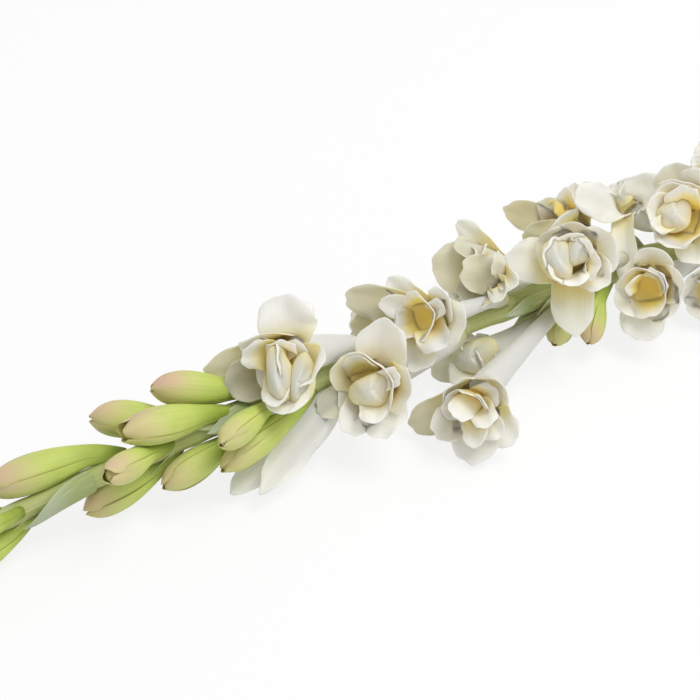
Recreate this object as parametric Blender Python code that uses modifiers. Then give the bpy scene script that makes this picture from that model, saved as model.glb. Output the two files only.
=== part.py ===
"""A cut flower stem of double tuberose, lying down, with its tip towards -X and its cut end towards +X.

One stem carries pointed bracts, closed buds towards the tip and open florets further down.
Each floret is a trumpet with its outer petals (the corolla) and a rosette of inner petals (the heart).
Lengths in the tables below are in millimetres; the mesh is in metres with +Z up.
"""
import math

import bmesh
import bpy
from mathutils import Vector

MM = 0.001
GAP = 0.45                 # air left between a piece and what carries it
MERGE = 0.01               # points closer than this become one
MIDDLE = Vector((81.97, -4.34, 0.0))      # middle of the whole stem's box on the floor

# The stem's centre line and thickness.
TIP_X = -158.0             # the soft end, among the smallest buds
CUT_X = 352.0              # the cut end, resting on the floor
CUT_RADIUS = 5.6
CUT_HEIGHT = 5.35          # centre of the cut end above the floor
TIP_RADIUS = 2.4
TAPER = 0.45               # below 1 the stem thins mostly near its tip
CREST_X = 20.0             # where the florets hold the stem highest
CREST_HEIGHT = 24.5
ARCH_LENGTH = 335.0        # from the crest to the cut end
STEM_STEPS = 26
STEM_SIDES = 10

# A bud: share of its length and of its greatest radius, how far its neck leans out before it turns along the
# stem, and where its neck and its body bend as shares of its length.
BUD_SIDES = 8
BUD_PROFILE = ((0.0, 0.36), (0.12, 0.46), (0.28, 0.78), (0.46, 0.98), (0.64, 1.0), (0.8, 0.88), (0.93, 0.6),
               (1.0, 0.24))
BUD_NECK = BUD_PROFILE[0][1]
BUD_SEAT = 0.8 * BUD_NECK  # height of the neck's foot above the stem, as a share of the bud's radius
BUD_LEAN = 0.8
BUD_BENDS = (0.3, 0.66)

# A floret of full size: share of its tube's length and radius, then share of its cup's depth and radius.
TUBE = ((0.0, 0.0), (0.0, 2.3), (0.35, 3.0), (0.7, 4.0))
FLARE = ((0.0, 4.8), (0.3, 7.2), (0.7, 9.8), (1.0, 13.5), (1.05, 20.0))
CUP_DEPTH = 11.0
PETAL_THICKNESS = 0.7
HEART_INSET = PETAL_THICKNESS + GAP + 0.25
CUP_RADIUS = 9.8           # where the outer petals start to spread
TUBE_SEAT = 2.0            # height of the tube's foot above the stem
TUBE_LEAN = 0.5            # how far the tube leans out before it turns along the stem
TUBE_BENDS = (0.4, 0.35)   # length of the bends at its foot and at its throat, as shares of its length
PETAL_LIFT = 0.9           # how far a petal that spreads less stands up instead
PETAL_NOTCH = 0.2          # depth of the notch between two petals, as a share of the radius
POINTS_PER_PETAL = 3

# The rosette's upper side: radius and height above the mouth; then the height of the hollow in its middle.
HEART_CUP = ((9.6, 2.0), (8.6, 5.6), (6.2, 3.0))
HEART_HOLLOW = -3.0
HEART_STEPS = 10

BRACT_LEAN = math.radians(12.0)
BRACT_THICKNESS = 0.6
BRACT_TIP = 0.25           # half width of a bract's tip
BRACT_TAPER = 1.6          # above 1 a bract keeps its width near the stem
BRACT_STEPS = 6

# Buds: name, station along the stem, tip of the bud (x, y, z), greatest radius.
BUDS = (
    ("bud_tip_1", -150, (-188, -3, 13), 3.8),
    ("bud_tip_2", -142, (-173, 13, 14), 4.4),
    ("bud_tip_3", -138, (-171, -15, 9), 4.4),
    ("bud_tip_4", -132, (-164, 8, 29), 4.8),
    ("bud_lower_1", -126, (-152, -10, 24), 4.6),
    ("bud_lower_2", -122, (-151, -4, 6), 5.2),
    ("bud_upper_1", -88, (-131, 7, 25), 6.2),
    ("bud_side_1", -70, (-102, -2, 8), 6.0),
    ("bud_side_2", -73, (-99, -19.5, 38), 4.9),
    ("bud_back_1", -60, (-89, 19, 27), 6.0),
    ("bud_upper_2", -50, (-87, -3, 37), 5.9),
    ("bud_front_1", -46, (-77, -10, 13.5), 5.3),
    ("bud_back_2", -36, (-69, 13, 36), 5.9),
    ("bud_front_2", -32, (-60, -21, 34), 4.8),
    ("bud_front_3", -20, (-59, -17, 18), 5.0),
    ("bud_white", -10, (-55, -16, 3.5), 4.8),
    ("bud_low_1", 104, (88, -18, 9), 4.6),
    ("bud_low_2", 92, (77, -12, 9), 4.6),
)

# How far each outer petal of a floret spreads. The first points away from the stem, the fourth towards it.
OPEN = (1.0, 1.0, 0.85, 0.6, 0.85, 1.0)
TUCKED = (1.0, 0.9, 0.7, 0.45, 0.7, 0.9)

# Florets: name, station, centre of the mouth (x, y, z), direction faced (x, y, z), size, petal spread.
FLORETS = (
    ("floret_1", 8, (-31, -1.5, 41.5), (-0.94, -0.13, 0.25), 1.00, (1.3, 1.1, 0.6, 0.45, 0.45, 1.2)),
    ("floret_2", 42, (-3, -16, 29), (-0.86, -0.38, 0.35), 1.00, (1.0, 0.8, 0.6, 0.5, 1.0, 1.0)),
    ("floret_3", 62, (23, -6, 41), (-0.86, -0.18, 0.46), 0.90, TUCKED),
    ("floret_4", 84, (54, 7.5, 41.5), (-0.88, 0.29, 0.31), 1.00, (1.0, 1.0, 0.8, 0.45, 0.45, 0.8)),
    ("floret_5", 82, (28, -32, 17.8), (-0.82, -0.52, 0.11), 0.95, OPEN),
    ("floret_6", 76, (46.5, -6, 12), (-0.98, -0.09, 0.04), 0.68, (0.9, 0.9, 0.7, 0.4, 0.7, 0.9)),
    ("floret_7", 114, (80, -12, 46), (-0.63, -0.50, 0.55), 1.00, OPEN),
    ("floret_8", 126, (101, 23, 34), (-0.55, 0.45, 0.57), 1.00, OPEN),
    ("floret_9", 146, (121, 14, 44), (-0.40, 0.50, 0.75), 0.80, OPEN),
    ("floret_10", 160, (131, -10, 46), (-0.58, -0.40, 0.71), 1.00, OPEN),
    ("floret_11", 148, (110, -19, 26), (-0.83, -0.43, 0.32), 0.90, TUCKED),
    ("floret_12", 172, (139.5, -22.5, 14), (-0.85, -0.45, 0.25), 0.80, TUCKED),
    ("floret_13", 36, (15, 18, 20), (-0.80, 0.60, 0.05), 0.85, TUCKED),
    ("floret_14", 96, (66, 28, 16), (-0.60, 0.78, -0.15), 0.90, TUCKED),
    ("floret_15", 190, (166, 14, 40), (-0.45, 0.45, 0.76), 1.00, OPEN),
    ("floret_16", 198, (168, -20, 32), (-0.50, -0.72, 0.42), 1.00, OPEN),
    ("floret_17", 186, (158, 26, 16), (-0.55, 0.80, -0.10), 0.90, OPEN),
)

# Bracts: name, station, turn around the stem in degrees (0 is up, 90 is towards -Y), length, half width.
BRACTS = (
    ("bract_1", -97, 100, 27, 7.5),
    ("bract_2", -40, 60, 18, 5.0),
    ("bract_3", 73, 65, 15, 3.2),
    ("bract_4", 98, 40, 14, 3.6),
    ("bract_5", 232, 60, 20, 5.0),
    ("bract_6", 268, -70, 24, 5.0),
    ("bract_7", 312, 40, 28, 5.0),
)


def clear_scene():
    for item in list(bpy.data.objects):
        bpy.data.objects.remove(item, do_unlink=True)


def make_collection(name):
    group = bpy.data.collections.new(name)
    bpy.context.scene.collection.children.link(group)
    return group


def make_material(name, colour, roughness):
    material = bpy.data.materials.new(name)
    material.use_nodes = True
    shader = material.node_tree.nodes["Principled BSDF"]
    shader.inputs["Base Color"].default_value = (*colour, 1.0)
    shader.inputs["Roughness"].default_value = roughness
    shader.inputs["Metallic"].default_value = 0.0
    return material


def stem_point(x):
    """Centre of the stem at a station, in millimetres."""
    arch = 0.5 * (1.0 + math.cos(math.pi * (x - CREST_X) / ARCH_LENGTH))
    return Vector((x, 0.0, CUT_HEIGHT + (CREST_HEIGHT - CUT_HEIGHT) * arch))


def stem_radius(x):
    along = (x - TIP_X) / (CUT_X - TIP_X)
    return TIP_RADIUS + (CUT_RADIUS - TIP_RADIUS) * max(along, 0.0) ** TAPER


def stem_direction(x):
    """Unit vector along the stem towards its cut end."""
    return (stem_point(x + 1.0) - stem_point(x - 1.0)).normalized()


def outward_to(x, target):
    """Unit vector square to the stem at a station, on the side where a target lies."""
    along = stem_direction(x)
    reach = Vector(target) - stem_point(x)
    return (reach - along * reach.dot(along)).normalized()


def smooth(t):
    return t * t * (3.0 - 2.0 * t)


def bezier(points, t):
    a, b, c, d = points
    s = 1.0 - t
    return a * s ** 3 + b * 3 * s * s * t + c * 3 * s * t * t + d * t ** 3


def swept_body(name, points, radii, sides, material, group):
    """A solid of round section along a line of points."""
    curve = bpy.data.curves.new(name, "CURVE")
    curve.dimensions = "3D"
    curve.bevel_depth = MM
    curve.bevel_resolution = sides // 2 - 2
    curve.use_fill_caps = True
    spline = curve.splines.new("POLY")
    spline.points.add(len(points) - 1)
    for spot, centre, radius in zip(spline.points, points, radii):
        spot.co = (*(centre * MM), 1.0)
        spot.radius = radius
    curve.materials.append(material)
    body = bpy.data.objects.new(name, curve)
    group.objects.link(body)
    return body


def rolled_sheet(name, around, along, place, thickness, material, group):
    """A rolled grid that starts at a point and opens into a cup, given a thickness on its inside."""
    mesh = bpy.data.meshes.new(name)
    shape = bmesh.new()
    bmesh.ops.create_grid(shape, x_segments=around, y_segments=along, size=0.5)
    for vertex in shape.verts:
        vertex.co = place(2.0 * math.pi * (vertex.co.x + 0.5), vertex.co.y + 0.5) * MM
    bmesh.ops.remove_doubles(shape, verts=shape.verts, dist=MERGE * MM)
    shape.to_mesh(mesh)
    shape.free()
    mesh.materials.append(material)
    body = bpy.data.objects.new(name, mesh)
    group.objects.link(body)
    solid = body.modifiers.new("thickness", "SOLIDIFY")
    solid.thickness = thickness * MM
    solid.offset = -1.0
    return body


def add_stem(material, group):
    points = []
    radii = []
    for step in range(STEM_STEPS + 1):
        x = TIP_X + (CUT_X - TIP_X) * step / STEM_STEPS
        points.append(stem_point(x))
        radii.append(stem_radius(x))
    swept_body("stem", points, radii, STEM_SIDES, material, group)


def add_bud(name, station, tip, radius, material, group):
    """A spindle that leaves the stem on a thin neck and swells to a blunt tip."""
    tip = Vector(tip)
    out = outward_to(station, tip)
    along = -stem_direction(station)
    base = stem_point(station) + out * (stem_radius(station) + GAP + BUD_SEAT * radius)
    reach = (tip - base).length
    bend = base + (out * BUD_LEAN + along).normalized() * reach * BUD_BENDS[0]
    points = (base, bend, base.lerp(tip, BUD_BENDS[1]), tip)
    centres = [bezier(points, t) for t, _ in BUD_PROFILE]
    radii = [radius * share for _, share in BUD_PROFILE]
    swept_body(name, centres, radii, BUD_SIDES, material, group)


def add_corolla(name, station, mouth, face, size, spread, material, group):
    """The trumpet of a floret: a bent tube that opens into a whorl of six outer petals."""
    mouth = Vector(mouth)
    face = Vector(face).normalized()
    out = outward_to(station, mouth)
    base = stem_point(station) + out * (stem_radius(station) + GAP + TUBE_SEAT)
    throat = mouth - face * CUP_DEPTH * size
    reach = (throat - base).length
    towards = (out * TUBE_LEAN - stem_direction(station)).normalized()
    path = (base, base + towards * reach * TUBE_BENDS[0], throat - face * reach * TUBE_BENDS[1], throat)
    away = outward_to(mouth.x, mouth)
    rings = len(TUBE) + len(FLARE) - 1

    def place(turn, share):
        index = round(share * rings)
        petal = turn / (2.0 * math.pi) * len(spread) - 0.5
        angle = 2.0 * math.pi * petal / len(spread)
        if index < len(TUBE):
            t, radius = TUBE[index]
            centre = bezier(path, t)
            axis = (bezier(path, t + 0.05) - bezier(path, max(t - 0.05, 0.0))).normalized()
        else:
            openness = (index - len(TUBE)) / (len(FLARE) - 1)
            rise, radius = FLARE[index - len(TUBE)]
            whole = math.floor(petal)
            blend = smooth(petal - whole)
            width = spread[whole % len(spread)] * (1.0 - blend) + spread[(whole + 1) % len(spread)] * blend
            notch = 0.5 - 0.5 * math.cos(2.0 * math.pi * petal)
            extra = max(radius - CUP_RADIUS, 0.0)
            lift = (1.0 - width) * extra * PETAL_LIFT
            radius = size * (radius - extra * (1.0 - width) - PETAL_NOTCH * radius * notch * openness ** 4)
            centre = throat + face * (CUP_DEPTH * rise + lift) * size
            axis = face
        across = (away - axis * away.dot(axis)).normalized()
        other = axis.cross(across)
        return centre + (across * math.cos(angle) + other * math.sin(angle)) * radius

    rolled_sheet(name, POINTS_PER_PETAL * len(spread), rings, place, PETAL_THICKNESS, material, group)


def add_heart(name, mouth, face, size, material, group):
    """The rosette of inner petals: a turned cup that stands in the throat of the corolla."""
    seat = [(radius * size - HEART_INSET, CUP_DEPTH * size * (rise - 1.0)) for rise, radius in FLARE[:3]]
    cup = [(radius * size, height * size) for radius, height in HEART_CUP]
    profile = [(0.0, seat[0][1]), *seat, *cup, (0.0, HEART_HOLLOW * size)]
    mesh = bpy.data.meshes.new(name)
    shape = bmesh.new()
    spots = [shape.verts.new((radius * MM, 0.0, height * MM)) for radius, height in profile]
    for first, second in zip(spots, spots[1:]):
        shape.edges.new((first, second))
    shape.to_mesh(mesh)
    shape.free()
    mesh.materials.append(material)
    body = bpy.data.objects.new(name, mesh)
    group.objects.link(body)
    turned = body.modifiers.new("turned", "SCREW")
    turned.steps = HEART_STEPS
    turned.render_steps = HEART_STEPS
    turned.use_merge_vertices = True
    turned.merge_threshold = MERGE * MM
    turned.use_normal_calculate = True
    body.rotation_euler = Vector(face).to_track_quat("Z", "Y").to_euler()
    body.location = Vector(mouth) * MM


def add_bract(name, station, turn, length, half_width, material, group):
    """A thin pointed leaf that clasps the stem and leans away from it towards the tip."""
    mesh = bpy.data.meshes.new(name)
    shape = bmesh.new()
    bmesh.ops.create_grid(shape, x_segments=BRACT_STEPS, y_segments=BRACT_STEPS, size=0.5)
    for vertex in shape.verts:
        across = vertex.co.x * 2.0
        along = vertex.co.y + 0.5
        x = station - along * length
        width = half_width * (1.0 - along ** BRACT_TAPER) + BRACT_TIP
        clasp = stem_radius(station) + GAP + 0.6 * BRACT_THICKNESS + along * length * math.sin(BRACT_LEAN)
        angle = math.radians(turn) + across * width / clasp
        spot = stem_point(x) + Vector((0.0, -math.sin(angle), math.cos(angle))) * clasp
        vertex.co = spot * MM
    bmesh.ops.recalc_face_normals(shape, faces=shape.faces)
    shape.to_mesh(mesh)
    shape.free()
    mesh.materials.append(material)
    body = bpy.data.objects.new(name, mesh)
    group.objects.link(body)
    solid = body.modifiers.new("thickness", "SOLIDIFY")
    solid.thickness = BRACT_THICKNESS * MM
    solid.offset = 0.0


def main():
    clear_scene()
    group = make_collection("tuberose_stem")
    root = bpy.data.objects.new("middle_of_the_floor", None)
    root.location = -MIDDLE * MM
    group.objects.link(root)
    green = make_material("stem_green", (0.36, 0.44, 0.13), 0.6)
    bud_green = make_material("bud_green", (0.55, 0.62, 0.22), 0.55)
    ivory = make_material("petal_ivory", (0.88, 0.86, 0.76), 0.6)
    cream = make_material("heart_cream", (0.86, 0.74, 0.42), 0.6)
    leaf = make_material("bract_green", (0.48, 0.54, 0.34), 0.65)
    add_stem(green, group)
    for name, station, tip, radius in BUDS:
        add_bud(name, station, tip, radius, bud_green, group)
    for name, station, mouth, face, size, spread in FLORETS:
        add_corolla(name + "_corolla", station, mouth, face, size, spread, ivory, group)
        add_heart(name + "_heart", mouth, face, size, cream, group)
    for name, station, turn, length, half_width in BRACTS:
        add_bract(name, station, turn, length, half_width, leaf, group)
    for body in group.objects:
        if body != root:
            body.parent = root


main()
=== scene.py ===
"""The looks of a cut stem of double tuberose that lies on a pale table.

The stem, its bracts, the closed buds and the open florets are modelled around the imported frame.
Tables are in millimetres, in the part's own making frame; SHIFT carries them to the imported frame.
"""
import math
import random

import bmesh
import bpy
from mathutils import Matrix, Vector, noise


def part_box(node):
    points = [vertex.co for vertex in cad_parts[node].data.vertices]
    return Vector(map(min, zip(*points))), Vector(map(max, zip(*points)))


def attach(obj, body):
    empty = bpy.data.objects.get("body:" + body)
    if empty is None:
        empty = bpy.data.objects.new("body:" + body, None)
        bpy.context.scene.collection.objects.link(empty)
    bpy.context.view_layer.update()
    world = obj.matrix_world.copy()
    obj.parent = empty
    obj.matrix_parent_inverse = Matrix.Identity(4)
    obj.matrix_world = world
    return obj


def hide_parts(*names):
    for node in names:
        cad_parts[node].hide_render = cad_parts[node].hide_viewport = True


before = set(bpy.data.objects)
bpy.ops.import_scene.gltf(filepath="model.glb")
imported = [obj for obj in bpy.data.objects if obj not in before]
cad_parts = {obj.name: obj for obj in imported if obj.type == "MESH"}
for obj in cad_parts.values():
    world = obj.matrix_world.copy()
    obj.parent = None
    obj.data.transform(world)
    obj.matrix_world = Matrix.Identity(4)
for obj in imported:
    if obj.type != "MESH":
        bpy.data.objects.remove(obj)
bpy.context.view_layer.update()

MM = 0.001

# The stem's centre line and thickness, as the solids have them.
TIP_X = -158.0
CUT_X = 352.0
CUT_RADIUS = 5.6
CUT_HEIGHT = 5.35
TIP_RADIUS = 2.4
CREST_X = 20.0
CREST_HEIGHT = 24.5
ARCH_LENGTH = 335.0
GAP = 0.45

# A floret's common sizes: depth of its throat and of its heart's seat below the mouth, and the two rings on
# which its outer petals and its crests stand in turn.
CUP_DEPTH = 11.0
HEART_DEPTH = 5.0
OUTER_RINGS = (4.65, 5.0)
CREST_RINGS = (2.8, 3.6)

# Walls of petals and bracts, of the buds' tepals, of the limp bud and of the stem with its scales.
LEAF_WALL = 0.4
TEPAL_WALL = 0.35
LIMP_WALL = 0.3
STEM_WALL = 0.3

# How far a petal has to be turned to the camera to show its face in every case.
FULL_FACE = 0.85

stem_low, stem_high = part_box("stem")
SHIFT = Vector((
    (stem_low[0] + stem_high[0]) / 2.0 / MM - (TIP_X + CUT_X) / 2.0,
    (stem_low[1] + stem_high[1]) / 2.0 / MM,
    0.0,
))

# The camera looks down on the stem from the tip's side.
VIEW_BACK = Vector((-0.3716, -0.6436, 0.6691)).normalized()
VIEW_RIGHT = Vector((0.866, -0.5, 0.0)).normalized()
VIEW_UP = VIEW_BACK.cross(VIEW_RIGHT).normalized()
VIEW_CENTRE = Vector((-0.08197, 0.00434, 0.032))
VIEW_DISTANCE = 0.66
LENS = 100.0
SENSOR = 36.0

# Light: the studio's plain level, the one soft lamp, and the table's white with its share of glow.
STUDIO_LEVEL = 0.64
LAMP_SPOT = (0.27, -0.24, 1.08)
LAMP_SIZE = 0.65
LAMP_POWER = 6.8
TABLE_WHITE = 0.9
TABLE_GLOW = 0.8

# Buds: name, station along the stem, tip of the bud (x, y, z), greatest radius, turn of the tepals in
# degrees, how far the tip gapes (0 closed, 1 wide), blush (0 green, 1 pink).
BUDS = (
    ("bud_tip_1", -150, (-188, -3, 13), 3.8, 0, 0.0, 0.2),
    ("bud_tip_2", -142, (-173, 13, 14), 4.4, 50, 0.0, 0.2),
    ("bud_tip_3", -138, (-171, -15, 9), 4.4, 20, 0.0, 0.2),
    ("bud_tip_4", -132, (-164, 8, 29), 4.8, 70, 0.1, 0.5),
    ("bud_lower_1", -126, (-152, -10, 24), 4.6, 30, 0.1, 0.6),
    ("bud_lower_2", -122, (-151, -4, 6), 5.2, 10, 0.0, 0.1),
    ("bud_upper_1", -88, (-131, 7, 25), 6.2, 60, 0.1, 0.9),
    ("bud_side_1", -70, (-102, -2, 8), 6.0, 20, 0.1, 0.8),
    ("bud_side_2", -73, (-99, -19.5, 38), 4.9, 40, 0.8, 0.7),
    ("bud_back_1", -60, (-89, 19, 27), 6.0, 10, 0.0, 0.8),
    ("bud_upper_2", -50, (-87, -3, 37), 5.9, 80, 0.9, 0.7),
    ("bud_front_1", -46, (-77, -10, 13.5), 5.3, 35, 0.05, 0.6),
    ("bud_back_2", -36, (-69, 13, 36), 5.9, 15, 0.0, 1.0),
    ("bud_front_2", -32, (-60, -21, 34), 4.8, 65, 0.0, 0.4),
    ("bud_front_3", -20, (-59, -17, 18), 5.0, 5, 0.3, 0.5),
    ("bud_white", -10, (-55, -16, 3.5), 4.8, 45, 0.4, 0.0),
    ("bud_low_1", 104, (88, -18, 9), 4.6, 25, 0.3, 0.9),
    ("bud_low_2", 92, (77, -12, 9), 4.6, 55, 0.7, 0.4),
)

# Florets: name, station, centre of the mouth (x, y, z), direction faced (x, y, z), size.
FLORETS = (
    ("floret_1", 8, (-31, -1.5, 41.5), (-0.94, -0.13, 0.25), 1.00),
    ("floret_2", 42, (-3, -16, 29), (-0.86, -0.38, 0.35), 1.00),
    ("floret_3", 62, (23, -6, 41), (-0.86, -0.18, 0.46), 0.90),
    ("floret_4", 84, (54, 7.5, 41.5), (-0.88, 0.29, 0.31), 1.00),
    ("floret_5", 82, (28, -32, 17.8), (-0.82, -0.52, 0.11), 0.95),
    ("floret_6", 76, (46.5, -6, 12), (-0.98, -0.09, 0.04), 0.68),
    ("floret_7", 114, (80, -12, 46), (-0.63, -0.50, 0.55), 1.00),
    ("floret_8", 126, (101, 23, 34), (-0.55, 0.45, 0.57), 1.00),
    ("floret_9", 146, (121, 14, 44), (-0.40, 0.50, 0.75), 0.80),
    ("floret_10", 160, (131, -10, 46), (-0.58, -0.40, 0.71), 1.00),
    ("floret_11", 148, (110, -19, 26), (-0.83, -0.43, 0.32), 0.90),
    ("floret_12", 172, (139.5, -22.5, 14), (-0.85, -0.45, 0.25), 0.80),
    ("floret_13", 36, (15, 18, 20), (-0.80, 0.60, 0.05), 0.85),
    ("floret_14", 96, (66, 28, 16), (-0.60, 0.78, -0.15), 0.90),
    ("floret_15", 190, (166, 14, 40), (-0.45, 0.45, 0.76), 1.00),
    ("floret_16", 198, (168, -20, 32), (-0.50, -0.72, 0.42), 1.00),
    ("floret_17", 186, (158, 26, 16), (-0.55, 0.80, -0.10), 0.90),
)

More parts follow.
